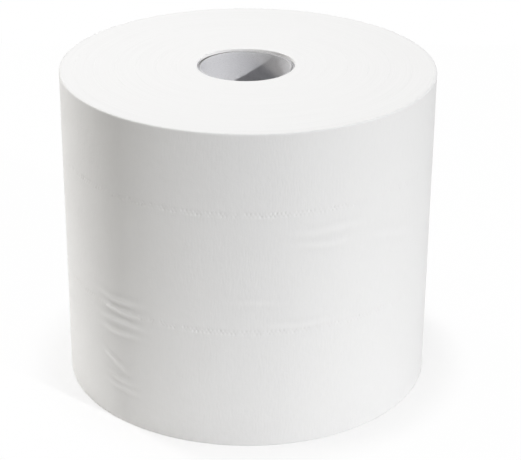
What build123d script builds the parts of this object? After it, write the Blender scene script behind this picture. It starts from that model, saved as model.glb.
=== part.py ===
from build123d import *

import os
from math import cos, degrees, radians, sin, sqrt

# A jumbo roll of white paper towel that stands on its end, in millimetres, +Z up.
# It is two pieces: the wound paper, whose turns are one solid, and the paperboard tube inside it.
# The origin is at the middle of the roll's foot. An azimuth of -90 degrees faces the front, 0 is +X.

# The roll as it measures from outside
roll_diameter = 253.0
web_width = 220.0
rim_chamfer = 0.8

# The loose end of the web, where the last turn steps down to the one under it
tail_step = 0.4
tail_azimuth = 68.0

# The tube, which was wound a little off the roll's middle and ends just inside the paper
core_bore_diameter = 60.0
core_wall = 2.5
core_recess = 1.3
core_end_chamfer = 0.4
core_clearance = 0.1
core_offset_x = -1.8
core_offset_y = 0.8
mouth_chamfer = 0.5

# The turns, which show on both ends as one shallow line that winds in towards the tube
turn_line_pitch = 14.0
turn_line_width = 1.4
turn_line_depth = 0.15
turn_line_margin = 6.0

# The embossed rows that hold the two plies together, counted down from the upper edge
ply_row_from_edge = 54.0
ply_row_spacing = 82.0
ply_row_width = 3.6
ply_row_depth = 0.15
ply_row_margin = 10.0

# The low folds on the last turn: the tallest one's height, and how wide a fold is at its foot
fold_height = 0.42
fold_spread = 5.0

# Each fold has its azimuth, its level as a share of the web's width, the angle that it spans,
# its height as a share of the tallest, and its slope, which is negative where it runs down.
folds = [
    (-131.5, 0.417, 19.0, 0.85, 0.0),
    (-131.0, 0.382, 18.0, 0.95, 0.0),
    (-131.0, 0.344, 19.0, 1.00, 0.0),
    (-131.5, 0.308, 17.0, 0.85, 0.0),
    (-134.0, 0.203, 10.0, 0.60, -26.0),
    (-132.0, 0.146, 13.0, 0.70, -4.0),
    (-131.0, 0.118, 14.0, 0.75, -4.0),
    (-87.5, 0.475, 15.0, 0.50, 0.0),
    (-75.5, 0.400, 20.0, 0.65, 0.0),
    (-67.0, 0.682, 23.0, 0.75, 0.0),
    (-68.5, 0.648, 20.0, 0.65, -2.0),
    (-43.0, 0.618, 19.0, 0.60, -13.0),
]

roll_radius = roll_diameter / 2
core_bore_radius = core_bore_diameter / 2
core_radius = core_bore_radius + core_wall
core_length = web_width - 2 * core_recess
paper_bore_radius = core_radius + core_clearance
core_place = Pos(core_offset_x, core_offset_y, 0)

# The winding is drawn with its loose end on +X and then turned to the loose end's azimuth.
to_tail = Rot(0, 0, tail_azimuth)


def section(*points):
    """A closed profile on the XZ plane from its corners, each as (x, z)."""
    corners = [(x, 0, z) for x, z in points]
    return make_face(Polyline(*corners, close=True))


def one_turn(profile, radius, step):
    """A profile carried through one turn of the winding, as two half rings.

    The far half runs round the middle at the given radius. The near half is tighter by half
    the step, about a point half a step back from the middle. So it carries on smoothly from
    the far half, and comes back to +X one step further in. The profile's x is counted from
    that path.
    """
    far_half = revolve(Pos(radius, 0, 0) * profile, Axis.Z, 180)
    near_axis = Axis((-step / 2, 0, 0), (0, 0, -1))
    near_half = revolve(Pos(radius - step, 0, 0) * profile, near_axis, 180)
    return [far_half, near_half]


def all_turns():
    """All the turns as one block: the outline of the last turn, as tall as the web is wide."""
    far_half = CenterArc((0, 0), roll_radius, 0, 180)
    near_half = CenterArc((-tail_step / 2, 0), roll_radius - tail_step / 2, 180, 180)
    loose_end = Line((roll_radius - tail_step, 0), (roll_radius, 0))
    return extrude(make_face(far_half + near_half + loose_end), web_width)


def rim_cutters():
    """The chamfers along the upper and the lower rim, which follow the last turn."""
    upper = section(
        (-2 * rim_chamfer, web_width + rim_chamfer),
        (rim_chamfer, web_width - 2 * rim_chamfer),
        (rim_chamfer, web_width + rim_chamfer),
    )
    lower = section(
        (-2 * rim_chamfer, -rim_chamfer),
        (rim_chamfer, 2 * rim_chamfer),
        (rim_chamfer, -rim_chamfer),
    )
    return one_turn(upper, roll_radius, tail_step) + one_turn(lower, roll_radius, tail_step)


def ply_row_cutters():
    """A shallow groove with sloping sides along each embossed row that lies clear of the foot."""
    cutters = []
    level = web_width - ply_row_from_edge
    while level > ply_row_margin:
        groove = section(
            (-ply_row_depth, level - ply_row_width / 4),
            (ply_row_depth, level - ply_row_width * 3 / 4),
            (ply_row_depth, level + ply_row_width * 3 / 4),
            (-ply_row_depth, level + ply_row_width / 4),
        )
        cutters += one_turn(groove, roll_radius, tail_step)
        level -= ply_row_spacing
    return cutters


def turn_line_cutters():
    """The line of the turns on both ends, as a V groove that moves in one pitch in each turn."""
    cutters = []
    for level, outwards in ((web_width, 1), (0, -1)):
        groove = section(
            (0, level - outwards * turn_line_depth),
            (turn_line_width, level + outwards * turn_line_depth),
            (-turn_line_width, level + outwards * turn_line_depth),
        )
        radius = roll_radius - turn_line_margin
        while radius - turn_line_pitch > paper_bore_radius + turn_line_margin:
            cutters += one_turn(groove, radius, turn_line_pitch)
            radius -= turn_line_pitch
    return cutters


def side_radius(azimuth):
    """How far the surface of the last turn is from the middle at an azimuth."""
    turned = radians(azimuth - tail_azimuth)
    if sin(turned) >= 0:
        return roll_radius
    half_step = tail_step / 2
    near_radius = roll_radius - half_step
    return sqrt(near_radius**2 - (half_step * sin(turned)) ** 2) - half_step * cos(turned)


def fold(azimuth, level_share, span, height_share, slope):
    """A low ridge that lies along the side and fades out at both ends.

    It is part of a ring about an upright line that is set off towards the fold. The ring is
    tighter than the side, so it stands out of the paper by the fold's height in the middle,
    and sinks back into it at half the fold's span to each side.
    """
    radius = side_radius(azimuth)
    height = height_share * fold_height
    fall = 1 - cos(radians(span / 2))
    set_off = (2 * radius * height + height**2) / (2 * radius * fall + 2 * height)
    crest = radius + height
    sunk_ends = 1.25
    turn = span * sunk_ends * radius / (crest - set_off)
    profile = section(
        (crest, 0),
        (crest - 2 * height, fold_spread),
        (crest - 2 * height, -fold_spread),
    )
    ridge = revolve(profile, Axis((set_off, 0, 0), (0, 0, 1)), turn)
    centred = Pos(set_off, 0, 0) * Rot(0, 0, -turn / 2) * Pos(-set_off, 0, 0) * ridge
    return Rot(0, 0, azimuth) * Pos(0, 0, level_share * web_width) * Rot(slope, 0, 0) * centred


def paper_bore_cutters():
    """The hole for the tube, and the slight opening of its two mouths."""
    wide = paper_bore_radius + 2 * mouth_chamfer
    hole = Pos(0, 0, web_width / 2) * Cylinder(paper_bore_radius, 2 * web_width)
    mouth = Cone(paper_bore_radius, wide, 2 * mouth_chamfer)
    upper = Pos(0, 0, web_width) * mouth
    lower = Rot(180, 0, 0) * mouth
    return [core_place * cutter for cutter in (hole, upper, lower)]


def wound_paper():
    """Every turn of the web as one solid, with its rims, lines, rows and folds."""
    cutters = rim_cutters() + ply_row_cutters() + turn_line_cutters()
    paper = to_tail * all_turns()
    paper -= [to_tail * cutter for cutter in cutters]
    paper -= paper_bore_cutters()
    paper += [fold(*values) for values in folds]
    return paper


def core_tube():
    """The paperboard tube, with the edges of its ends softened."""
    tube = Cylinder(core_radius, core_length) - Cylinder(core_bore_radius, core_length)
    ends = tube.faces().filter_by(Axis.Z)
    tube = chamfer(ends.edges(), core_end_chamfer)
    return core_place * Pos(0, 0, web_width / 2) * tube


os.makedirs("parts", exist_ok=True)
export_step(wound_paper(), "parts/wound_paper.step")
export_step(core_tube(), "parts/core_tube.step")
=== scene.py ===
"""A jumbo roll of creped paper towel on its paperboard tube, on its end in a white studio.

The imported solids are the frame: every size that the roll shares with them is read from there.
Lengths are in metres and angles in radians, unless a name says millimetres (mm) or degrees.
An azimuth is counted about the upright axis from +X, so the front faces -90 degrees.
"""
import copy
import math

import bpy
import numpy as np
from bpy.props import FloatProperty, FloatVectorProperty, PointerProperty
from mathutils import Matrix, Vector


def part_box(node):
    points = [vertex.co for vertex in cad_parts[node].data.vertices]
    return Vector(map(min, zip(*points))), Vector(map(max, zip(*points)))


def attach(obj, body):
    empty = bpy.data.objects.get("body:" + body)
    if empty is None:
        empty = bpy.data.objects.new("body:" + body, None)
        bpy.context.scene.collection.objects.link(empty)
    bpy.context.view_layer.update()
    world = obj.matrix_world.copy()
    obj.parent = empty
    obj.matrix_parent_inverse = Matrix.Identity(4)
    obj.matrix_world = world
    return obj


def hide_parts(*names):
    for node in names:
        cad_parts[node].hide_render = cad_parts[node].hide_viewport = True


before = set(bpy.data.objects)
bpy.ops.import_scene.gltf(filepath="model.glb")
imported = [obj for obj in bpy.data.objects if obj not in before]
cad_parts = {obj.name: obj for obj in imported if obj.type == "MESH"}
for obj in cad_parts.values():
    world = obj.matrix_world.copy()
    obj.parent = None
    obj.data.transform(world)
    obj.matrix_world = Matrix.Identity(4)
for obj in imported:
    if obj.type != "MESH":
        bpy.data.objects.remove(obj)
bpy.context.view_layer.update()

bl_info = {
    "name": "Paper Towel Roll",
    "version": (1, 0, 0),
    "blender": (4, 5, 0),
    "location": "View3D > Sidebar > Paper Roll",
    "description": "Builds a jumbo roll of paper towel, its tube and a white studio",
    "category": "Object",
}

MM = 0.001
FULL_TURN = 2 * math.pi
# The maps of the end faces measure the way round at this radius, and go on into the hole's
# two mouths from this distance inwards.
MIDDLE_MM = 80.0
MOUTH_MAP_MM = 92.0
PAPER_LOW, PAPER_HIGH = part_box("wound_paper")
CORE_LOW, CORE_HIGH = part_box("core_tube")


def linear(hex_colour):
    """The linear RGB of a colour written as sRGB hex, such as "#F2F2F0"."""
    srgb = [int(hex_colour[i:i + 2], 16) / 255 for i in (1, 3, 5)]
    return tuple(c / 12.92 if c <= 0.04045 else ((c + 0.055) / 1.055) ** 2.4 for c in srgb)


def length(name, description, default, **more):
    """A length setting, in metres."""
    return FloatProperty(
        name=name, description=description, default=default, min=0.0,
        subtype="DISTANCE", unit="LENGTH", precision=5, **more,
    )


def angle(name, description, degrees):
    """An angle setting whose default is given in degrees."""
    return FloatProperty(
        name=name, description=description, default=math.radians(degrees),
        subtype="ANGLE", unit="ROTATION",
    )


def watts(name, description, default):
    """A lamp's power, in watts."""
    return FloatProperty(
        name=name, description=description, default=default, min=0.0, subtype="POWER",
        unit="POWER",
    )


def fraction(name, description, default):
    """A setting from 0 to 1."""
    return FloatProperty(
        name=name, description=description, default=default, min=0.0, max=1.0,
        subtype="FACTOR",
    )


def colour(name, description, hex_colour):
    """A colour setting whose default is given as sRGB hex."""
    return FloatVectorProperty(
        name=name, description=description, default=linear(hex_colour),
        subtype="COLOR", size=3, min=0.0, max=1.0,
    )


class PaperSettings(bpy.types.PropertyGroup):
    """The wound paper: its sizes, its surface and its colour."""

    radius: length("Roll radius", "From the middle to the last turn", -PAPER_LOW.x)
    width: length("Web width", "The roll's height on its end", PAPER_HIGH.z - PAPER_LOW.z)
    step: length("Loose end step", "How far the last turn steps down at its end", 0.4 * MM)
    loose_end: angle("Loose end azimuth", "Where the web ends, on the back", 68.0)
    lift: length("Loose end lift", "How far the loose end stands off at most", 0.9 * MM)
    rim: length("Rim rounding", "Radius of the soft rim", 0.8 * MM)
    foot_round: length("Foot rounding", "Radius of the lower rim, under the weight", 0.5 * MM)
    mouth: length("Mouth", "How far the first turns stand off the tube on average", 0.74 * MM)
    mouth_round: length("Mouth rounding", "Radius of the hole's edge", 0.30 * MM)
    mouth_deep: length("Mouth depth", "How far down the first turns close on the tube", 5.0 * MM)
    fit: length("Core clearance", "Between the paper's hole and the tube", 0.1 * MM)
    line_pitch: length("Turn line pitch", "From one turn line to the next on an end", 14.0 * MM)
    line_width: length("Turn line width", "How wide a turn line is", 1.0 * MM)
    row_from_edge: length("Ply row from edge", "Upper edge to first embossed row", 54.0 * MM)
    row_spacing: length("Ply row spacing", "From one embossed row to the next", 82.0 * MM)
    row_half: length("Ply row line", "From a row's middle to each line of dots", 0.9 * MM)
    groove_half: length("Ply row groove", "Half the width of the faint groove", 1.9 * MM)
    dot_pitch: length("Dot pitch", "From one embossed dot to the next", 2.7 * MM)
    dot_radius: length("Dot radius", "Radius of a dot at a third of its depth", 0.72 * MM)
    dot_depth: length("Dot depth", "How deep the dots are pressed", 0.22 * MM)
    fold_height: length("Fold height", "The tallest fold on the last turn", 0.55 * MM)
    crepe_pitch: length("Crepe pitch", "From one crepe line to the next", 1.3 * MM)
    # The tissue's colour, with painted light on the crests and painted shade in the troughs of its
    # crepe and folds; the slit edges mix the two as the rings' tone.
    white: colour("Paper white", "Bleached tissue on the crests of its crepe and folds", "#F3F3F3")
    shade: colour("Paper shade", "The same tissue in their troughs", "#E7E7E7")


class CoreSettings(bpy.types.PropertyGroup):
    """The paperboard tube: its sizes and its colours."""

    wall: length("Wall", "Thickness of the wound board", 2.5 * MM)
    end_round: length("End rounding", "Radius of the softened ends", 0.4 * MM)
    ply_width: length("Inner ply width", "Width of the strip the tube is wound from", 80.0 * MM)
    ply: length("Ply", "Thickness of one ply of the board", 0.5 * MM)
    seam_width: length("Seam width", "Gap between the edges of the inner ply", 0.8 * MM)
    seam_depth: length("Seam depth", "Depth of that gap", 0.12 * MM)
    board: colour("Board", "Grey recycled paperboard", "#D8D8DB")
    # The colour of the painted shade on the tube's cut end, along its gap to the paper.
    stain: colour("Stain", "The cut board where glue and dust lie beside the paper", "#6E6C6A")
    flecks: colour("Flecks", "Dark fibres in the board", "#8E8B88")


class StudioSettings(bpy.types.PropertyGroup):
    """The camera, the lamps and the floor."""

    lens: FloatProperty(name="Lens", description="Focal length in mm", default=116.0, min=1.0)
    distance: length("Camera distance", "From the roll's axis, level", 1.0680)
    height: length("Camera height", "Above the floor", 0.5935)
    yaw: angle("Camera yaw", "Turn to the right", 0.481)
    pitch: angle("Camera pitch", "Tilt downwards", 24.892)
    roll: angle("Camera roll", "Turn about the line of sight", 0.414)
    key: watts("Key", "The small lamp far off at front right", 262)
    left: watts("Left", "The low panel at left, a little in front", 10.8)
    high_left: watts("High left", "The small, higher panel at left", 9.2)
    back_left: watts("Back left", "The panel at left behind", 31.8)
    top: watts("Top", "The panel overhead", 5.0)
    ambient: FloatProperty(
        name="Ambient", description="Strength of the dim room", default=0.0, min=0.0,
    )
    floor_reach: length("Floor reach", "From the middle to the floor's edges", 0.7)
    halo: FloatProperty(
        name="Halo", description="Where the floor turns plain, in radii of the roll", default=1.3,
        min=1.0,
    )
    white_foot: fraction("White at the foot", "Flat white in the floor under the foot's edge", 0.2)
    white_near: fraction("White near", "Flat white in the floor just beside the roll", 0.70)
    white_far: fraction("White far", "Flat white in the floor further out", 0.98)
    contact: length("Contact", "From the foot's edge to where the floor is clear of it", 1.5 * MM)
    floor: colour("Floor", "White paper sweep", "#F8F8F8")
    warm: colour("Warm", "The two panels at left, a trace warmer than the key", "#FFFBF3")


class RollSettings(bpy.types.PropertyGroup):
    """Everything that a user may change."""

    paper: PointerProperty(type=PaperSettings)
    core: PointerProperty(type=CoreSettings)
    studio: PointerProperty(type=StudioSettings)


def add_node(tree, kind, inputs=None, **settings):
    """A node of that kind in the tree, with its settings, and its inputs set or linked."""
    node = tree.nodes.new(kind)
    for name, value in settings.items():
        setattr(node, name, value)
    for socket, value in (inputs or {}).items():
        if isinstance(value, bpy.types.NodeSocket):
            tree.links.new(value, node.inputs[socket])
        else:
            node.inputs[socket].default_value = value
    return node


def new_material(name):
    """An empty node material and its output node."""
    material = bpy.data.materials.new(name)
    material.use_nodes = True
    tree = material.node_tree
    tree.nodes.clear()
    output = add_node(tree, "ShaderNodeOutputMaterial")
    return material, tree, output


def rgba(rgb):
    """A colour as four numbers."""
    return (*rgb, 1.0)


def creped_tissue(paper):
    """Creped tissue, bleached, two plies: dry creping leaves fine lines across the web.

    To the eye it is a matt, slightly fuzzy white with broken upright lines, crisper in some
    patches than in others, and faint clouds where the fibres lie thicker. Its colour carries
    painted shade in the troughs of the crepe and beside the folds, and painted light on their
    crests. Real crepe lines are about half a millimetre apart, too fine to show, so they are
    drawn more than twice as coarse. The web map is in millimetres, and so is the relief that
    the mesh carries.
    """
    material, tree, output = new_material("creped_tissue")
    web = add_node(tree, "ShaderNodeUVMap", uv_map="web")
    relief = add_node(tree, "ShaderNodeAttribute", attribute_name="relief")
    clouds = add_node(
        tree, "ShaderNodeTexNoise",
        {"Vector": web.outputs["UV"], "Scale": 0.16, "Detail": 3.0, "Roughness": 0.6},
    )
    crepe_place = add_node(
        tree, "ShaderNodeMapping",
        {"Vector": web.outputs["UV"], "Scale": (MM / paper.crepe_pitch, 0.13, 1.0)},
    )
    crepe = add_node(
        tree, "ShaderNodeTexNoise",
        {"Vector": crepe_place.outputs["Vector"], "Scale": 1.0, "Detail": 2.0, "Roughness": 0.55,
         "Distortion": 0.15},
    )
    fibre_place = add_node(
        tree, "ShaderNodeMapping",
        {"Vector": web.outputs["UV"], "Scale": (2.6, 1.1, 1.0)},
    )
    fibres = add_node(
        tree, "ShaderNodeTexNoise",
        {"Vector": fibre_place.outputs["Vector"], "Scale": 1.0, "Detail": 2.0, "Roughness": 0.7},
    )
    patches = add_node(
        tree, "ShaderNodeTexNoise",
        {"Vector": web.outputs["UV"], "Scale": 0.035, "Detail": 1.0},
    )
    crispness = add_node(
        tree, "ShaderNodeMapRange",
        {"Value": patches.outputs["Fac"], "From Min": 0.38, "From Max": 0.62,
         "To Min": 0.05, "To Max": 0.15},
    )
    crepe_height = add_node(
        tree, "ShaderNodeMath",
        {0: crepe.outputs["Fac"], 1: crispness.outputs["Result"]}, operation="MULTIPLY",
    )
    cloud_height = add_node(
        tree, "ShaderNodeMath",
        {0: clouds.outputs["Fac"], 1: 0.20, 2: crepe_height.outputs["Value"]},
        operation="MULTIPLY_ADD",
    )
    height = add_node(
        tree, "ShaderNodeMath",
        {0: fibres.outputs["Fac"], 1: 0.05, 2: cloud_height.outputs["Value"]},
        operation="MULTIPLY_ADD",
    )
    bump = add_node(
        tree, "ShaderNodeBump",
        {"Height": height.outputs["Value"], "Distance": MM, "Strength": 1.0},
    )
    # Painted shade and light: the crepe's troughs are painted darker and its crests lighter.
    crepe_tone = add_node(
        tree, "ShaderNodeMapRange",
        {"Value": crepe.outputs["Fac"], "From Min": 0.3, "From Max": 0.7,
         "To Min": 0.48, "To Max": 0.60},
    )
    # Painted shade and light: the troughs beside each fold are painted darker and its ridge
    # lighter.
    tone = add_node(
        tree, "ShaderNodeMath",
        {0: relief.outputs["Fac"], 1: 1.5, 2: crepe_tone.outputs["Result"]},
        operation="MULTIPLY_ADD", use_clamp=True,
    )
    tint = add_node(
        tree, "ShaderNodeMix",
        {"Factor": tone.outputs["Value"], "A": rgba(paper.shade), "B": rgba(paper.white)},
        data_type="RGBA",
    )
    shader = add_node(
        tree, "ShaderNodeBsdfPrincipled",
        {"Base Color": tint.outputs[2], "Roughness": 0.95, "Specular IOR Level": 0.25,
         "Sheen Weight": 0.1, "Sheen Roughness": 0.6, "Normal": bump.outputs["Normal"]},
    )
    tree.links.new(shader.outputs["BSDF"], output.inputs["Surface"])
    return material


def slit_edges(paper):
    """The slit edges of the turns: hundreds of layers of tissue pressed side by side.

    They look denser and smoother than the side, with hairline rings and one faint line that
    winds in. A layer is a seventh of a millimetre, too fine to show, so the rings are drawn
    several times as wide. In the web map the first number is the distance in from the rim and
    the second the way round at MIDDLE_MM, both in millimetres.
    """
    material, tree, output = new_material("slit_tissue_edges")
    web = add_node(tree, "ShaderNodeUVMap", uv_map="web")
    ring_place = add_node(
        tree, "ShaderNodeMapping",
        {"Vector": web.outputs["UV"], "Scale": (1.3, 0.012, 1.0)},
    )
    rings = add_node(
        tree, "ShaderNodeTexNoise",
        {"Vector": ring_place.outputs["Vector"], "Scale": 1.0, "Detail": 4.0, "Roughness": 0.65},
    )
    lint = add_node(
        tree, "ShaderNodeTexNoise",
        {"Vector": web.outputs["UV"], "Scale": 1.1, "Detail": 2.0, "Roughness": 0.6},
    )
    split = add_node(tree, "ShaderNodeSeparateXYZ", {"Vector": web.outputs["UV"]})
    way_round = add_node(
        tree, "ShaderNodeMath",
        {0: split.outputs["Y"], 1: 1 / (FULL_TURN * MIDDLE_MM)}, operation="MULTIPLY",
    )
    turns_in = add_node(
        tree, "ShaderNodeMath",
        {0: split.outputs["X"], 1: MM / paper.line_pitch, 2: way_round.outputs["Value"]},
        operation="MULTIPLY_ADD",
    )
    beside = add_node(
        tree, "ShaderNodeMath", {0: turns_in.outputs["Value"], 1: 0.5}, operation="PINGPONG",
    )
    line = add_node(
        tree, "ShaderNodeMapRange",
        {"Value": beside.outputs["Value"], "From Max": paper.line_width / 2 / paper.line_pitch,
         "To Min": -0.06, "To Max": 0.0},
        interpolation_type="SMOOTHSTEP",
    )
    ring_height = add_node(
        tree, "ShaderNodeMath",
        {0: rings.outputs["Fac"], 1: 0.03, 2: line.outputs["Result"]}, operation="MULTIPLY_ADD",
    )
    height = add_node(
        tree, "ShaderNodeMath",
        {0: lint.outputs["Fac"], 1: 0.02, 2: ring_height.outputs["Value"]},
        operation="MULTIPLY_ADD",
    )
    bump = add_node(
        tree, "ShaderNodeBump",
        {"Height": height.outputs["Value"], "Distance": MM, "Strength": 1.0},
    )
    tone = add_node(
        tree, "ShaderNodeMapRange",
        {"Value": rings.outputs["Fac"], "From Min": 0.3, "From Max": 0.6,
         "To Min": 0.62, "To Max": 0.92},
    )
    tint = add_node(
        tree, "ShaderNodeMix",
        {"Factor": tone.outputs["Result"], "A": rgba(paper.shade), "B": rgba(paper.white)},
        data_type="RGBA",
    )
    shader = add_node(
        tree, "ShaderNodeBsdfPrincipled",
        {"Base Color": tint.outputs[2], "Roughness": 0.95, "Specular IOR Level": 0.25,
         "Normal": bump.outputs["Normal"]},
    )
    tree.links.new(shader.outputs["BSDF"], output.inputs["Surface"])
    return material


def grey_board(core):
    """Grey paperboard from recycled paper, wound in strips and glued.

    Its liner is smooth and matt, with short fibres and dark flecks that lie along the strip.
    The strip map is in millimetres along and across the strip.
    """
    material, tree, output = new_material("grey_paperboard")
    strip = add_node(tree, "ShaderNodeUVMap", uv_map="strip")
    fibre_place = add_node(
        tree, "ShaderNodeMapping",
        {"Vector": strip.outputs["UV"], "Scale": (0.45, 1.9, 1.0)},
    )
    fibres = add_node(
        tree, "ShaderNodeTexNoise",
        {"Vector": fibre_place.outputs["Vector"], "Scale": 1.0, "Detail": 4.0, "Roughness": 0.65},
    )
    fleck_noise = add_node(
        tree, "ShaderNodeTexNoise",
        {"Vector": fibre_place.outputs["Vector"], "Scale": 1.7, "Detail": 1.0},
    )
    flecks = add_node(
        tree, "ShaderNodeMapRange",
        {"Value": fleck_noise.outputs["Fac"], "From Min": 0.66, "From Max": 0.72, "To Max": 0.5},
    )
    cloud = add_node(
        tree, "ShaderNodeMapRange",
        {"Value": fibres.outputs["Fac"], "From Min": 0.3, "From Max": 0.7,
         "To Min": 0.93, "To Max": 1.05},
    )
    tint = add_node(
        tree, "ShaderNodeMix",
        {"Factor": flecks.outputs["Result"], "A": rgba(core.board), "B": rgba(core.flecks)},
        data_type="RGBA",
    )
    shaded = add_node(
        tree, "ShaderNodeVectorMath",
        {0: tint.outputs[2], "Scale": cloud.outputs["Result"]}, operation="SCALE",
    )
    bump = add_node(
        tree, "ShaderNodeBump",
        {"Height": fibres.outputs["Fac"], "Distance": 0.04 * MM, "Strength": 1.0},
    )
    shader = add_node(
        tree, "ShaderNodeBsdfPrincipled",
        {"Base Color": shaded.outputs["Vector"], "Roughness": 0.85, "Specular IOR Level": 0.2,
         "Normal": bump.outputs["Normal"]},
    )
    tree.links.new(shader.outputs["BSDF"], output.inputs["Surface"])
    return material


def cut_board(core):
    """The cut ends of the tube: rough board, with painted shade beside the paper.

    A ply is half a millimetre, and the wave that draws the plies is twice as wide, so that it
    shows at all. The mesh carries the painted shade, from 0 to 1.
    """
    material, tree, output = new_material("cut_paperboard")
    stain = add_node(tree, "ShaderNodeAttribute", attribute_name="stain")
    place = add_node(tree, "ShaderNodeTexCoord")
    centre_x, centre_y = core_centre()
    centred = add_node(
        tree, "ShaderNodeMapping",
        {"Vector": place.outputs["Object"], "Location": (-centre_x, -centre_y, 0.0),
         "Scale": (1.0, 1.0, 0.0)},
    )
    radius = add_node(
        tree, "ShaderNodeVectorMath", {0: centred.outputs["Vector"]}, operation="LENGTH",
    )
    plies = add_node(
        tree, "ShaderNodeMath",
        {0: radius.outputs["Value"], 1: FULL_TURN / (2 * core.ply)}, operation="MULTIPLY",
    )
    wave = add_node(tree, "ShaderNodeMath", {0: plies.outputs["Value"]}, operation="COSINE")
    fuzz = add_node(
        tree, "ShaderNodeTexNoise",
        {"Vector": centred.outputs["Vector"], "Scale": 1.0 / MM, "Detail": 2.0},
    )
    rough = add_node(
        tree, "ShaderNodeMath",
        {0: wave.outputs["Value"], 1: 0.12, 2: fuzz.outputs["Fac"]}, operation="MULTIPLY_ADD",
    )
    light = add_node(
        tree, "ShaderNodeMapRange",
        {"Value": rough.outputs["Value"], "From Min": 0.3, "From Max": 0.7,
         "To Min": 0.82, "To Max": 1.0},
    )
    # Painted shade: the mesh's mark draws the cut end towards the dark colour beside the paper.
    unshaded = add_node(
        tree, "ShaderNodeMath", {0: 1.0, 1: stain.outputs["Fac"]}, operation="SUBTRACT",
    )
    tone = add_node(
        tree, "ShaderNodeMath",
        {0: unshaded.outputs["Value"], 1: light.outputs["Result"]}, operation="MULTIPLY",
    )
    tint = add_node(
        tree, "ShaderNodeMix",
        {"Factor": tone.outputs["Value"], "A": rgba(core.stain), "B": rgba(core.board)},
        data_type="RGBA",
    )
    bump = add_node(
        tree, "ShaderNodeBump",
        {"Height": light.outputs["Result"], "Distance": 0.25 * MM, "Strength": 1.0},
    )
    shader = add_node(
        tree, "ShaderNodeBsdfPrincipled",
        {"Base Color": tint.outputs[2], "Roughness": 0.95, "Specular IOR Level": 0.2,
         "Normal": bump.outputs["Normal"]},
    )
    tree.links.new(shader.outputs["BSDF"], output.inputs["Surface"])
    return material


def seen_directly(tree):
    """A node that is 1 for rays from the camera, from gloss and through glass, else 0."""
    rays = add_node(tree, "ShaderNodeLightPath")
    either = add_node(
        tree, "ShaderNodeMath",
        {0: rays.outputs["Is Camera Ray"], 1: rays.outputs["Is Glossy Ray"]}, operation="MAXIMUM",
    )
    return add_node(
        tree, "ShaderNodeMath",
        {0: either.outputs["Value"], 1: rays.outputs["Is Transmission Ray"]}, operation="MAXIMUM",
    )


def white_sweep(studio):
    """A sweep of white background paper: plain to the camera, with a trace of the shadow.

    Rays from the camera, from gloss and through glass mostly see a flat white, and more so
    further out. Close under the edge of the foot they mostly see the paper, which keeps the
    dark line there. Light that bounces to the object comes from matt paper.
    """
    material, tree, output = new_material("white_paper_sweep")
    seen = seen_directly(tree)
    place = add_node(tree, "ShaderNodeTexCoord")
    distance = add_node(
        tree, "ShaderNodeVectorMath", {0: place.outputs["Object"]}, operation="LENGTH",
    )
    white_share = add_node(
        tree, "ShaderNodeMapRange",
        {"Value": distance.outputs["Value"], "From Min": PAPER_HIGH.x,
         "From Max": studio.halo * PAPER_HIGH.x,
         "To Min": studio.white_near, "To Max": studio.white_far},
        interpolation_type="SMOOTHSTEP",
    )
    clear_of_foot = add_node(
        tree, "ShaderNodeMapRange",
        {"Value": distance.outputs["Value"], "From Min": PAPER_HIGH.x - studio.contact,
         "From Max": PAPER_HIGH.x + studio.contact, "To Min": studio.white_foot},
        interpolation_type="SMOOTHSTEP",
    )
    outside = add_node(
        tree, "ShaderNodeMath",
        {0: white_share.outputs["Result"], 1: clear_of_foot.outputs["Result"]},
        operation="MULTIPLY",
    )
    share = add_node(
        tree, "ShaderNodeMath",
        {0: seen.outputs["Value"], 1: outside.outputs["Value"]}, operation="MULTIPLY",
    )
    paper = add_node(tree, "ShaderNodeBsdfDiffuse", {"Color": rgba(studio.floor)})
    flat_white = add_node(tree, "ShaderNodeEmission", {"Color": (1.0, 1.0, 1.0, 1.0)})
    mixed = add_node(
        tree, "ShaderNodeMixShader",
        {0: share.outputs["Value"], 1: paper.outputs["BSDF"], 2: flat_white.outputs["Emission"]},
    )
    tree.links.new(mixed.outputs["Shader"], output.inputs["Surface"])
    return material


def spaced_by(spacing, low, high):
    """Places from low to high whose distance from each other follows spacing, a function.

    The number of steps up to a place is the integral of one over the spacing.
    """
    fine = np.linspace(low, high, 4001)
    steps = np.concatenate([[0.0], np.cumsum(np.diff(fine) / spacing((fine[1:] + fine[:-1]) / 2))])
    count = max(2, round(steps[-1]) + 1)
    return np.interp(np.linspace(0.0, steps[-1], count), steps, fine)


# The side that shows folds and rows has finer columns, between these azimuths in degrees.
FINE_FROM, FINE_TO = -150.0, -28.0


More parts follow.
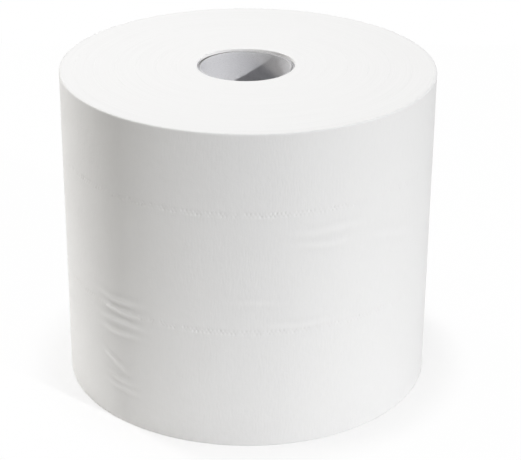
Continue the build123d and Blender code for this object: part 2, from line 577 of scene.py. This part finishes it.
class Columns:
    """The upright lines of the paper's mesh, in order round the roll from the loose end.

    turn is the angle from the loose end. The last columns pass under the loose end and come
    back out along its underside, so it is a sheet that lies on the one below. lifted is the
    share of the lift that a column follows, and tucked tells how far it is under the sheet.
    flat_turn is the angle that the columns take on the end faces, where nothing overlaps.
    """

    def __init__(self, paper):
        front_low = (math.radians(FINE_FROM) - paper.loose_end) % FULL_TURN
        front_high = (math.radians(FINE_TO) - paper.loose_end) % FULL_TURN
        fine, coarse = 1.75 * MM / paper.radius, 3.7 * MM / paper.radius

        def spacing(turn):
            front = (turn > front_low) & (turn < front_high)
            return np.where(front, fine, coarse)

        body = spaced_by(spacing, 0.045, FULL_TURN - 0.014)
        self.turn = np.concatenate([
            [0.0, 0.006, 0.014, 0.026], body,
            [FULL_TURN - 0.004, FULL_TURN, FULL_TURN, FULL_TURN],
        ])
        self.tucked = np.concatenate([np.zeros(4 + len(body) + 1), [0.024, 0.011, 0.0]])
        self.lifted = np.concatenate([
            [1.0, 0.72, 0.34, 0.05], np.zeros(len(body) + 2), [0.42, 1.0],
        ])
        self.flat_turn = np.concatenate([
            [0.006, 0.012, 0.019, 0.030], body,
            FULL_TURN + np.array([-0.007, -0.003, 0.0, 0.003]),
        ])
        self.inside = np.concatenate([np.zeros(4 + len(body)), np.ones(4)])
        self.count = len(self.turn)

    def split(self, parts):
        """The same columns with each gap divided into that many parts."""
        at = np.arange(self.count * parts) / parts
        whole = np.arange(self.count + 1)
        finer = copy.copy(self)
        finer.count = self.count * parts
        closing = {"turn": FULL_TURN, "flat_turn": self.flat_turn[0] + FULL_TURN}
        for name in ("turn", "tucked", "lifted", "flat_turn", "inside"):
            values = getattr(self, name)
            last = closing.get(name, values[0])
            setattr(finer, name, np.interp(at, whole, np.append(values, last)))
        return finer


def spiral_radius(paper, turn):
    """How far the last turn is from the middle: it comes in by one step in its second half."""
    half_step = paper.step / 2
    near = paper.radius - half_step
    shrunk = np.sqrt(near**2 - (half_step * np.sin(turn)) ** 2) - half_step * np.cos(turn)
    return np.where(np.sin(turn) >= 0, paper.radius, shrunk)


FOLDS = (
    # azimuth in degrees, level as a share of the width, length in mm, height as a share of
    # the tallest, slope in degrees, half width in mm
    (-131.5, 0.417, 42.0, 0.85, 0.0, 2.1),
    (-131.0, 0.382, 40.0, 0.95, 0.0, 2.1),
    (-131.0, 0.344, 42.0, 1.00, 0.0, 2.1),
    (-131.5, 0.308, 38.0, 0.85, 0.0, 2.1),
    (-134.0, 0.203, 24.0, 0.60, -26.0, 2.4),
    (-132.0, 0.146, 28.0, 0.70, -4.0, 2.2),
    (-131.0, 0.118, 30.0, 0.75, -4.0, 2.2),
    (-87.5, 0.475, 34.0, 0.20, 0.0, 2.2),
    (-75.5, 0.400, 44.0, 0.26, 0.0, 2.2),
    (-67.0, 0.690, 50.0, 0.28, 0.0, 2.6),
    (-68.5, 0.649, 44.0, 0.28, -2.0, 2.3),
    (-43.0, 0.618, 42.0, 0.16, -13.0, 3.0),
)

SOFT_WAVES = (
    # the height in mm, the wavelength round the roll and along it in mm, and the phase
    (0.060, 83.0, 310.0, 0.3),
    (0.045, 51.0, -140.0, 1.9),
    (0.030, 37.0, 64.0, 4.1),
    (0.022, -29.0, 47.0, 2.6),
    (0.020, 410.0, 38.0, 5.2),
    (0.014, 23.0, -31.0, 0.9),
    (0.010, 160.0, 21.0, 3.7),
)


def folds_height(paper, turn, level):
    """The low folds that lie across the web, as the sum of soft ridges.

    Across its line each is a ridge between two shallow troughs: with u the distance over the
    half width, its height follows one less u squared, times a bell curve of u. Its line swings
    by half a millimetre either way, and it fades out to both ends.
    """
    height = np.zeros(np.broadcast_shapes(turn.shape, level.shape))
    for azimuth, share, long_mm, tall, slope, half_mm in FOLDS:
        centre = math.radians(azimuth) - paper.loose_end
        along = (turn - centre + math.pi) % FULL_TURN - math.pi
        along = along * paper.radius
        across = level - share * paper.width - along * math.tan(math.radians(slope))
        across = across + 0.5 * MM * np.sin(along / (6.5 * MM) + 50 * share)
        beside = across / (half_mm * MM)
        ridge = (1 - beside**2) * np.exp(-(beside**2) / 2)
        fade = np.exp(-(np.abs(along / (0.42 * long_mm * MM)) ** 2.8))
        height = height + tall * paper.fold_height * ridge * fade
    return height


def soft_waves_height(paper, turn, level):
    """Long shallow waves, where the last turn lies a little loose on the one below."""
    height = np.zeros(np.broadcast_shapes(turn.shape, level.shape))
    for tall, around, along, phase in SOFT_WAVES:
        swing = FULL_TURN * (turn * paper.radius / (around * MM) + level / (along * MM)) + phase
        height = height + tall * MM * (np.sin(swing) - 1) / 2
    return height


def row_levels(paper):
    """The heights of the embossed ply rows that lie clear of the foot."""
    levels = np.arange(paper.width - paper.row_from_edge, 10 * MM, -paper.row_spacing)
    return sorted(float(level) for level in levels)


def row_depth(paper, turn, level):
    """Two staggered lines of round dots in a faint groove, along each ply row.

    The wheel that presses them bites deeper in some places than in others, by a sum of sines
    round the roll, most of all at the front left. No two dots beside each other are alike.
    """
    depth = np.zeros(np.broadcast_shapes(turn.shape, level.shape))
    dots_round = round(FULL_TURN * paper.radius / paper.dot_pitch)
    pitch = FULL_TURN * paper.radius / dots_round
    for row in row_levels(paper):
        swing = np.sin(7 * turn + 40 * row) + np.sin(17 * turn + 90 * row) + np.sin(43 * turn)
        swing = swing + 1.6 * np.sin(101 * turn + 60 * row)
        bite = np.clip(0.65 + 0.25 * swing + 0.4 * np.cos(turn - 2.8), 0.05, 1.7)
        groove = np.exp(-(((level - row) / paper.groove_half) ** 4))
        depth = depth + 0.3 * bite * paper.dot_depth * groove
        for line, stagger in ((-paper.row_half, 0.0), (paper.row_half, 0.5)):
            place = turn * paper.radius / pitch + stagger
            beside = (place - np.round(place)) * pitch
            away = np.sqrt(beside**2 + (level - row - line) ** 2) / paper.dot_radius
            pressed = bite * (0.3 + np.abs(np.sin(12.99 * np.round(place) + 900 * line)))
            depth = depth + pressed * paper.dot_depth * np.exp(-(away**2))
    return depth


def loose_end_gap(paper, level):
    """How far the loose end stands off at a level: glued at both edges, slack in three places."""
    share = level / paper.width
    held = np.clip(np.sin(math.pi * share), 0.0, 1.0) ** 0.5
    slack = 0.16 + 0.5 * np.sin(2.6 * math.pi * share + 0.4) ** 2
    slack = slack + 0.34 * np.sin(5.3 * math.pi * share) ** 2
    return paper.lift * held * slack


def side_points(paper, columns, level, fade):
    """The azimuths and radii of one row on the side, and its folds' height in mm.

    fade flattens the folds and waves near the rims.
    """
    turn = columns.turn
    held = max(0.04, math.sin(math.pi * min(max(level / paper.width, 0.0), 1.0)) ** 0.5)
    angle_round = turn + columns.tucked * held
    radius = spiral_radius(paper, np.minimum(turn, FULL_TURN))
    radius = np.where(columns.inside > 0.999, paper.radius - paper.step, radius)
    radius = radius + columns.lifted * loose_end_gap(paper, level)
    level_array = np.array([level])
    share = fade * (1 - columns.inside)
    folds = share * folds_height(paper, turn, level_array)
    rows = share * row_depth(paper, turn, level_array)
    waves = share * soft_waves_height(paper, turn, level_array)
    # The folds' height in mm is also the mark that paints shade in their troughs and light on
    # their ridges.
    return angle_round, radius + folds - rows + waves, folds / MM


# The levels, in mm, between which the folds lie and the side's rows are close.
FOLD_ZONES = ((14.0, 56.0), (62.0, 112.0), (124.0, 158.0))


def side_levels(paper):
    """The levels of the side's rows between the rims: close where there are folds or dots.

    Each item is the levels of one stretch and whether it is an embossed ply row. The first
    and the last level have a close neighbour, which keeps the rims' shading off the side.
    """
    def spacing(level):
        """The distance from the row at a level to the next."""
        near = np.zeros(level.shape, bool)
        for low, high in FOLD_ZONES:
            near |= (level > low * MM) & (level < high * MM)
        return np.where(near, 1.0 * MM, 4.2 * MM)

    foot, rim = paper.foot_round * 1.3, paper.width - paper.rim * 1.5
    guard, half, clear = 0.4 * MM, 2.4 * MM, 0.5 * MM
    stretches, low = [(np.array([foot]), False)], foot + guard
    for row in row_levels(paper):
        stretches.append((spaced_by(spacing, low, row - half - clear), False))
        stretches.append((np.linspace(row - half, row + half, 9), True))
        low = row + half + clear
    stretches.append((spaced_by(spacing, low, rim - guard), False))
    stretches.append((np.array([rim]), False))
    return stretches


def join_rows(first, second, first_start, second_start):
    """Faces between two closed rows of points that run the same way round.

    Equal rows are joined by quads. Where one row has several points for each of the other's,
    each coarse point fans out to the nearer half of the fine points on both its sides.
    """
    if first == second:
        i = np.arange(first)
        j = (i + 1) % first
        quads = np.stack([first_start + i, first_start + j, second_start + j, second_start + i], 1)
        return quads.tolist()
    coarse, fine = min(first, second), max(first, second)
    coarse_start, fine_start = (
        (first_start, second_start) if first < second else (second_start, first_start)
    )
    parts = fine // coarse
    at = np.arange(fine)
    owner = ((at + parts // 2) // parts) % coarse
    fans = np.stack([coarse_start + owner, fine_start + (at + 1) % fine, fine_start + at], 1)
    i = np.arange(coarse)
    split = (i * parts + parts - parts // 2) % fine
    bridges = np.stack([coarse_start + i, coarse_start + (i + 1) % coarse, fine_start + split], 1)
    faces = np.concatenate([fans, bridges])
    if first > second:
        faces = faces[:, ::-1]
    return faces.tolist()


def build_mesh(name, rows, map_name, mark_name):
    """A closed mesh from rows of points, each joined to the next and the last to the first.

    A row holds its points, their map coordinates, a number to mark each point with and the
    material slot of the faces that start at it.
    """
    starts = np.concatenate([[0], np.cumsum([len(row[0]) for row in rows])])
    points, coordinates, marks = (np.concatenate([row[part] for row in rows]) for part in range(3))
    faces, slots = [], []
    for k, row in enumerate(rows):
        after = (k + 1) % len(rows)
        made = join_rows(len(row[0]), len(rows[after][0]), starts[k], starts[after])
        faces += made
        slots += [row[3]] * len(made)
    mesh = bpy.data.meshes.new(name)
    mesh.from_pydata(points.tolist(), [], faces)
    corners = np.zeros(len(mesh.loops), np.int32)
    mesh.loops.foreach_get("vertex_index", corners)
    layer = mesh.uv_layers.new(name=map_name)
    layer.data.foreach_set("uv", coordinates[corners].astype(np.float32).ravel())
    marked = mesh.attributes.new(mark_name, "FLOAT", "POINT")
    marked.data.foreach_set("value", marks.astype(np.float32))
    mesh.polygons.foreach_set("material_index", np.array(slots, np.int32))
    mesh.polygons.foreach_set("use_smooth", np.ones(len(mesh.polygons), bool))
    mesh.validate()
    mesh.update()
    piece = bpy.data.objects.new(name, mesh)
    bpy.context.scene.collection.objects.link(piece)
    return piece


def polar(radius, azimuth, level):
    """Points from radii and azimuths at one level."""
    x, y = radius * np.cos(azimuth), radius * np.sin(azimuth)
    return np.stack([x, y, np.broadcast_to(level, x.shape)], 1)


def core_centre():
    """The middle of the tube, seen from above."""
    return (CORE_LOW.x + CORE_HIGH.x) / 2, (CORE_LOW.y + CORE_HIGH.y) / 2


MOUTH_WAVES = (
    # waves round the hole, height as a share of the mean, and azimuth of a crest in degrees
    (1, 0.32, 73),
    (2, 0.30, 33),
    (3, 0.29, 15),
    (4, 0.38, 36),
)


def mouth_width(paper, azimuth):
    """How far the hole's edge stands off the tube: the first turns are a little out of round."""
    share = np.ones(azimuth.shape)
    for waves, height, crest in MOUTH_WAVES:
        share = share + height * np.cos(waves * (azimuth - math.radians(crest)))
    return paper.mouth * share


def end_rows(paper, columns, step, upper):
    """Rows of points over one end face, from the rim inwards to the mouth of the hole.

    The rings change evenly from circles about the roll to circles about the tube. The face
    waves by up to a twentieth of a millimetre, as a product of two sines of the distance
    inwards, because the turns don't lie quite level.
    """
    azimuth = paper.loose_end + columns.flat_turn
    centre_x, centre_y = core_centre()
    hole = (CORE_HIGH.x - CORE_LOW.x) / 2 + paper.fit + mouth_width(paper, azimuth)
    edge = 2.4 * MM
    outer = polar(np.full(columns.count, paper.radius - edge), azimuth, 0.0)
    inner = polar(hole, azimuth, 0.0) + [centre_x, centre_y, 0.0]
    across = paper.radius - edge - hole.mean()
    rows = []
    for share in np.linspace(0.0, 1.0, round(across / step) + 1):
        points = outer + (inner - outer) * share
        inwards = edge + share * across
        fade = min(1.0, 14 * share, 14 * (1 - share))
        swell = 1 + np.sin(inwards / (5.3 * MM) + np.sin(azimuth)) * math.sin(inwards / (2.9 * MM))
        drop = fade * 0.025 * MM * swell
        points[:, 2] = paper.width - drop if upper else drop
        mapped = np.stack([
            np.full(columns.count, inwards / MM), columns.flat_turn * MIDDLE_MM,
        ], 1)
        rows.append((points, mapped, np.zeros(columns.count), 1))
    return rows


def mouth_rows(paper, columns, upper):
    """Rows down one mouth of the hole: its edge, and the wall that closes on the tube."""
    azimuth = paper.loose_end + columns.flat_turn
    centre_x, centre_y = core_centre()
    tight = (CORE_HIGH.x - CORE_LOW.x) / 2 + paper.fit
    stand_off = mouth_width(paper, azimuth) - paper.mouth_round
    steps = [
        (stand_off + paper.mouth_round * (1 - math.sin(corner)),
         paper.mouth_round * (1 - math.cos(corner)))
        for corner in np.radians([30.0, 60.0, 90.0])
    ]
    steps += [
        (stand_off, paper.mouth_round + 0.1 * MM),
        (stand_off, paper.mouth_deep * 0.4),
        (stand_off * 0.5, paper.mouth_deep * 0.7),
        (0.0, paper.mouth_deep),
    ]
    rows = []
    for out, deep in steps:
        height = paper.width - deep if upper else deep
        points = polar(tight + out, azimuth, height) + [centre_x, centre_y, 0.0]
        mapped = np.stack([
            np.full(columns.count, MOUTH_MAP_MM + deep / MM), columns.flat_turn * MIDDLE_MM,
        ], 1)
        rows.append((points, mapped, np.zeros(columns.count), 1))
    return rows


def side_row(paper, columns, level, inset, height, fade):
    """One row of the side or of a rim: its relief is that of a level, moved in by the inset."""
    azimuth, radius, relief = side_points(paper, columns, level, fade)
    points = polar(radius - inset, paper.loose_end + azimuth, height)
    arc = columns.turn * paper.radius / MM
    mapped = np.stack([arc, np.full(columns.count, height / MM)], 1)
    return points, mapped, relief, 0


def rim_rows(paper, columns, size, upper):
    """Rows round a rim, in steps of a quarter circle: the last turn's edge is soft and uneven."""
    rows = []
    uneven = 0.08 * MM * (1 + np.sin(131 * columns.turn + 2 * np.sin(57 * columns.turn)))
    for corner in np.radians([0.0, 30.0, 60.0]):
        inset = size * (1 - math.sin(corner)) + uneven * math.cos(corner)
        drop = size * (1 - math.cos(corner))
        height = paper.width - drop if upper else drop
        level = paper.width if upper else 0.0
        rows.append(side_row(paper, columns, level, inset, height, 0.0))
    return rows[::-1] if upper else rows


def winding_rows(paper):
    """All rows of the wound paper, as a closed loop: side, upper end, hole and foot."""
    columns = Columns(paper)
    fine = columns.split(5)
    rows = rim_rows(paper, columns, paper.foot_round, False)
    for levels, embossed in side_levels(paper):
        for level in levels:
            fade = min(1.0, min(level, paper.width - level) / (12 * MM))
            rows.append(side_row(paper, fine if embossed else columns, level, 0.0, level, fade))
    rows += rim_rows(paper, columns, paper.rim, True)
    rows[-1] = (*rows[-1][:3], 1)
    upper_step, lower_step = 3.0 * MM, 4.5 * MM
    rows += end_rows(paper, columns, upper_step, True)
    rows += mouth_rows(paper, columns, True) + mouth_rows(paper, columns, False)[::-1]
    rows += end_rows(paper, columns, lower_step, False)[::-1]
    return rows


def end_gap_shade(azimuth, radius):
    """The painted shade on the tube's cut end, from 0 to 1, at its azimuths and at one radius.

    The shade is painted in a wide streak along the back left, just inside the paper, and in a
    thin line at the right. Between the two, at the back, the board is only a little darker.
    """
    inwards = (CORE_HIGH.x - CORE_LOW.x) / 2 - radius

    def near(degrees, reach):
        """One near an azimuth, falling to zero beyond a reach, both in degrees."""
        away = (azimuth - math.radians(degrees) + math.pi) % FULL_TURN - math.pi
        return np.exp(-((away / math.radians(reach)) ** 4))

    wide = 0.95 * near(140, 43) * math.exp(-(((inwards - 1.1 * MM) / (0.8 * MM)) ** 4))
    thin = 0.85 * near(-3, 17) * math.exp(-(((inwards - 1.2 * MM) / (0.40 * MM)) ** 2))
    faint = 0.45 * near(62, 50)
    return np.maximum(np.maximum(wide, thin), faint)


def tube_rows(core):
    """All rows of the tube, as a closed loop: outside up, upper end, bore down and foot.

    The bore carries the gap between the edges of the inner ply, which runs round it as a
    helix that climbs by its pitch in each turn.
    """
    count, rings, levels = 192, 12, 112
    centre_x, centre_y = core_centre()
    outer = (CORE_HIGH.x - CORE_LOW.x) / 2
    bore = outer - core.wall
    low, high = CORE_LOW.z, CORE_HIGH.z
    turn = np.arange(count) * FULL_TURN / count
    steep = math.asin(core.ply_width / (FULL_TURN * bore))
    pitch = FULL_TURN * bore * math.tan(steep)
    liner, cut = 0, 1

    def row(radius, height, slot, seam=0.0):
        """A ring of points; seam is the share of the seam's depth that it carries."""
        beside = height / pitch - turn / FULL_TURN
        beside = (beside - np.round(beside)) * pitch * math.cos(steep)
        groove = core.seam_depth * np.exp(-((beside / (core.seam_width / 2)) ** 2))
        points = polar(radius + groove * seam, turn, height) + [centre_x, centre_y, 0.0]
        along = turn * bore * math.cos(steep) + height * math.sin(steep)
        over = height * math.cos(steep) - turn * bore * math.sin(steep)
        # Painted shade on the cut end, along its gap to the paper.
        stain = end_gap_shade(turn, radius) * (slot == cut)
        return points, np.stack([along / MM, over / MM], 1), stain, slot

    def corner_rows(radius, height, inwards, upwards, corners, slot):
        """Rings round an edge, as a quarter circle."""
        rows = []
        for corner in corners:
            inset = core.end_round * (1 - math.sin(corner))
            drop = core.end_round * (1 - math.cos(corner))
            rows.append(row(radius - inwards * inset, height - upwards * drop, slot))
        return rows

    down_to_side = np.radians([0.0, 30.0, 60.0, 90.0])
    side_to_end = down_to_side[::-1]
    across = np.linspace(outer - core.end_round, bore + core.end_round, rings)[1:-1]
    rows = corner_rows(outer, low, 1, -1, down_to_side, liner)
    rows += corner_rows(outer, high, 1, 1, side_to_end, cut)
    rows += [row(radius, high, cut) for radius in across]
    rows += corner_rows(bore, high, -1, 1, down_to_side, cut)
    rows[-1] = (*rows[-1][:3], liner)
    for height in np.linspace(high - core.end_round, low + core.end_round, levels)[1:-1]:
        rows.append(row(bore, height, liner, 1.0))
    rows += corner_rows(bore, low, -1, -1, side_to_end, cut)
    rows += [row(radius, low, cut) for radius in across[::-1]]
    return rows


class ROLL_OT_wound_paper(bpy.types.Operator):
    """Build all turns of the paper as one closed surface, with its loose end, folds and rows."""

    bl_idname = "roll.wound_paper"
    bl_label = "Wound paper"

    def execute(self, context):
        paper = context.scene.towel_roll.paper
        piece = build_mesh("winding", winding_rows(paper), "web", "relief")
        piece.data.materials.append(creped_tissue(paper))
        piece.data.materials.append(slit_edges(paper))
        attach(piece, "root")
        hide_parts("wound_paper")
        return {"FINISHED"}


class ROLL_OT_core_tube(bpy.types.Operator):
    """Build the paperboard tube with its softened ends and the seam of its inner ply."""

    bl_idname = "roll.core_tube"
    bl_label = "Core tube"

    def execute(self, context):
        core = context.scene.towel_roll.core
        piece = build_mesh("board_tube", tube_rows(core), "strip", "stain")
        piece.data.materials.append(grey_board(core))
        piece.data.materials.append(cut_board(core))
        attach(piece, "root")
        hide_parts("core_tube")
        return {"FINISHED"}


def add_panel(name, azimuth, elevation, distance, width, height, power, tint=(1.0, 1.0, 1.0)):
    """A flat lamp that faces the middle of the roll from an azimuth, elevation and distance."""
    lamp = bpy.data.lights.new(name, "AREA")
    lamp.color = tint
    lamp.shape = "RECTANGLE"
    lamp.size, lamp.size_y = width, height
    lamp.energy = power
    azimuth, elevation = math.radians(azimuth), math.radians(elevation)
    away = Vector((
        math.cos(elevation) * math.cos(azimuth),
        math.cos(elevation) * math.sin(azimuth),
        math.sin(elevation),
    ))
    holder = bpy.data.objects.new(name, lamp)
    holder.location = Vector((0.0, 0.0, 0.12)) + away * distance
    holder.rotation_mode = "QUATERNION"
    holder.rotation_quaternion = away.to_track_quat("Z", "Y")
    bpy.context.scene.collection.objects.link(holder)
    return holder


LAMPS = (
    # setting, azimuth and elevation in degrees, distance, width and height in metres
    ("key", -41.0, 23.1, 6.0, 0.185, 0.185),
    ("left", -170.0, 17.6, 2.6, 0.40, 0.40),
    ("high_left", 178.0, 22.0, 2.6, 0.20, 0.20),
    ("back_left", 140.0, 27.0, 2.6, 0.40, 0.40),
    ("top", 0.0, 90.0, 1.1, 0.60, 0.60),
)


def white_room(studio):
    """A world that is white to the camera, to gloss and through glass, and lights softly."""
    world = bpy.data.worlds.new("white_room")
    world.use_nodes = True
    tree = world.node_tree
    tree.nodes.clear()
    seen = seen_directly(tree)
    soft = add_node(tree, "ShaderNodeBackground", {"Strength": studio.ambient})
    white = add_node(tree, "ShaderNodeBackground", {"Strength": 1.0})
    for light in (soft, white):
        light.inputs["Color"].default_value = (1.0, 1.0, 1.0, 1.0)
    mixed = add_node(
        tree, "ShaderNodeMixShader",
        {0: seen.outputs["Value"], 1: soft.outputs["Background"],
         2: white.outputs["Background"]},
    )
    output = add_node(tree, "ShaderNodeOutputWorld")
    tree.links.new(mixed.outputs["Shader"], output.inputs["Surface"])
    return world


def add_camera(studio):
    """The camera in front of the roll, level at first and then turned, tilted and rolled."""
    data = bpy.data.cameras.new("camera")
    data.sensor_width = 36.0
    data.lens = studio.lens
    data.clip_start, data.clip_end = 0.05, 50.0
    camera = bpy.data.objects.new("camera", data)
    level_ahead = Matrix.Rotation(math.pi / 2, 4, "X")
    turned = Matrix.Rotation(-studio.yaw, 4, "Z")
    tilted = Matrix.Rotation(-studio.pitch, 4, "X")
    rolled = Matrix.Rotation(studio.roll, 4, "Z")
    place = Matrix.Translation((0.0, -studio.distance, studio.height))
    camera.matrix_world = place @ turned @ tilted @ level_ahead @ rolled
    bpy.context.scene.collection.objects.link(camera)
    return camera


def add_floor(studio):
    """A wide floor, as one grid face, level with the foot of the roll."""
    corners = np.array([[-1, -1], [1, -1], [1, 1], [-1, 1]]) * studio.floor_reach
    points = np.column_stack([corners, np.zeros(4)])
    mesh = bpy.data.meshes.new("floor")
    mesh.from_pydata(points.tolist(), [], [(0, 1, 2, 3)])
    mesh.materials.append(white_sweep(studio))
    floor = bpy.data.objects.new("floor", mesh)
    bpy.context.scene.collection.objects.link(floor)
    return floor


class ROLL_OT_studio(bpy.types.Operator):
    """Set up the white floor, the lamps and the camera."""

    bl_idname = "roll.studio"
    bl_label = "Studio"

    def execute(self, context):
        studio = context.scene.towel_roll.studio
        for name, *place in LAMPS:
            tint = studio.warm if name in ("left", "high_left") else (1.0, 1.0, 1.0)
            add_panel(name + "_lamp", *place, getattr(studio, name), tint)
        add_floor(studio)
        scene = context.scene
        scene.world = white_room(studio)
        scene.camera = add_camera(studio)
        scene.view_settings.view_transform = "Standard"
        return {"FINISHED"}


class ROLL_PT_panel(bpy.types.Panel):
    """The roll's operators and settings, in the sidebar of the 3D view."""

    bl_idname = "ROLL_PT_panel"
    bl_label = "Paper Towel Roll"
    bl_space_type = "VIEW_3D"
    bl_region_type = "UI"
    bl_category = "Paper Roll"

    def draw(self, context):
        layout = self.layout
        settings = context.scene.towel_roll
        for operator, group in (
            (ROLL_OT_wound_paper, settings.paper),
            (ROLL_OT_core_tube, settings.core),
            (ROLL_OT_studio, settings.studio),
        ):
            layout.operator(operator.bl_idname)
            box = layout.box()
            for name in group.__annotations__:
                box.prop(group, name)


CLASSES = (
    PaperSettings,
    CoreSettings,
    StudioSettings,
    RollSettings,
    ROLL_OT_wound_paper,
    ROLL_OT_core_tube,
    ROLL_OT_studio,
    ROLL_PT_panel,
)


def register():
    """Make the classes known to Blender, and give the scene its settings."""
    for cls in CLASSES:
        bpy.utils.register_class(cls)
    bpy.types.Scene.towel_roll = PointerProperty(type=RollSettings)


def unregister():
    """Take the settings and the classes away again."""
    del bpy.types.Scene.towel_roll
    for cls in reversed(CLASSES):
        bpy.utils.unregister_class(cls)


def main():
    """Build the roll and its studio."""
    register()
    bpy.ops.roll.wound_paper()
    bpy.ops.roll.core_tube()
    bpy.ops.roll.studio()


if __name__ == "__main__":
    main()
